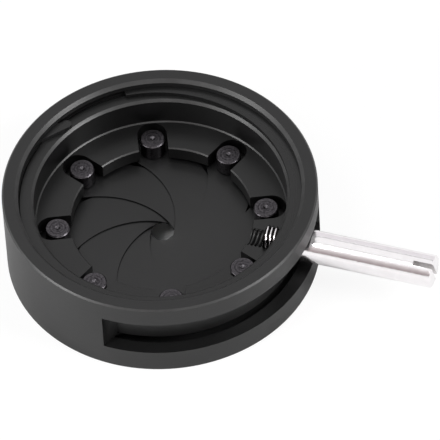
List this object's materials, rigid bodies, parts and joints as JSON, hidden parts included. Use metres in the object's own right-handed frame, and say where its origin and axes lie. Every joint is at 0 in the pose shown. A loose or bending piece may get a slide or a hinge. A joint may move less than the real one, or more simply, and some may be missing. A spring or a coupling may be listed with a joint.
{
  "type": "iris diaphragm",
  "caption": "Round iris diaphragm: overlapping curved blades on pins in a black cup housing, opened and shut by a radial lever that turns a slotted ring.",
  "frame": {"origin": "middle of the housing's back face, on the optical axis", "axes": "+Z along the optical axis out of the open front of the housing, +X to the right in the picture, about 20 degrees from the lever at rest"},
  "size_m": [0.0518, 0.038, 0.0112],
  "materials": {
    "anodised_housing": "satin black anodised",
    "anodised_ring": "satin black anodised",
    "black_spring_steel": "black oxide",
    "blade_sheet": "matt black coated",
    "steel_pins": "turned",
    "plated_lever": "bright nickel plated"
  },
  "bodies": {
    "housing": {"housing": "anodised_housing", "snap_ring": "black_spring_steel"},
    "actuator": {"actuator_ring": "anodised_ring", "lever": "plated_lever"},
    "blade_1": {"blade_1": "blade_sheet", "drive_pin_1": "steel_pins", "pivot_pin_1": "steel_pins"},
    "blade_2": {"blade_2": "blade_sheet", "drive_pin_2": "steel_pins", "pivot_pin_2": "steel_pins"},
    "blade_3": {"blade_3": "blade_sheet", "drive_pin_3": "steel_pins", "pivot_pin_3": "steel_pins"},
    "blade_4": {"blade_4": "blade_sheet", "drive_pin_4": "steel_pins", "pivot_pin_4": "steel_pins"},
    "blade_5": {"blade_5": "blade_sheet", "drive_pin_5": "steel_pins", "pivot_pin_5": "steel_pins"},
    "blade_6": {"blade_6": "blade_sheet", "drive_pin_6": "steel_pins", "pivot_pin_6": "steel_pins"},
    "blade_7": {"blade_7": "blade_sheet", "drive_pin_7": "steel_pins", "pivot_pin_7": "steel_pins"},
    "blade_8": {"blade_8": "blade_sheet", "drive_pin_8": "steel_pins", "pivot_pin_8": "steel_pins"}
  },
  "joints": [
    {"name": "lever_turn", "type": "hinge", "parent": "housing", "child": "actuator", "pos_m": [0, 0, 0], "axis": [0, 0, 1], "range_deg": [-83, 7]},
    {"name": "blade_1_swing", "type": "hinge", "parent": "housing", "child": "blade_1", "pos_m": [-0.0112, 0.00754, 0.0025], "axis": [0, 0, 1], "range_deg": [-40.4, 3.5]},
    {"name": "blade_2_swing", "type": "hinge", "parent": "housing", "child": "blade_2", "pos_m": [-0.01325, -0.00259, 0.0025], "axis": [0, 0, 1], "range_deg": [-40.4, 3.5]},
    {"name": "blade_3_swing", "type": "hinge", "parent": "housing", "child": "blade_3", "pos_m": [-0.00754, -0.0112, 0.0025], "axis": [0, 0, 1], "range_deg": [-40.4, 3.5]},
    {"name": "blade_4_swing", "type": "hinge", "parent": "housing", "child": "blade_4", "pos_m": [0.00259, -0.01325, 0.0025], "axis": [0, 0, 1], "range_deg": [-40.4, 3.5]},
    {"name": "blade_5_swing", "type": "hinge", "parent": "housing", "child": "blade_5", "pos_m": [0.0112, -0.00754, 0.0025], "axis": [0, 0, 1], "range_deg": [-40.4, 3.5]},
    {"name": "blade_6_swing", "type": "hinge", "parent": "housing", "child": "blade_6", "pos_m": [0.01325, 0.00259, 0.0025], "axis": [0, 0, 1], "range_deg": [-40.4, 3.5]},
    {"name": "blade_7_swing", "type": "hinge", "parent": "housing", "child": "blade_7", "pos_m": [0.00754, 0.0112, 0.0025], "axis": [0, 0, 1], "range_deg": [-40.4, 3.5]},
    {"name": "blade_8_swing", "type": "hinge", "parent": "housing", "child": "blade_8", "pos_m": [-0.00259, 0.01325, 0.0025], "axis": [0, 0, 1], "range_deg": [-40.4, 3.5]}
  ],
  "couplings": [
    {"joint": "blade_1_swing", "follows": "lever_turn", "ratio": 0.4855},
    {"joint": "blade_2_swing", "follows": "lever_turn", "ratio": 0.4855},
    {"joint": "blade_3_swing", "follows": "lever_turn", "ratio": 0.4855},
    {"joint": "blade_4_swing", "follows": "lever_turn", "ratio": 0.4855},
    {"joint": "blade_5_swing", "follows": "lever_turn", "ratio": 0.4855},
    {"joint": "blade_6_swing", "follows": "lever_turn", "ratio": 0.4855},
    {"joint": "blade_7_swing", "follows": "lever_turn", "ratio": 0.4855},
    {"joint": "blade_8_swing", "follows": "lever_turn", "ratio": 0.4855}
  ]
}
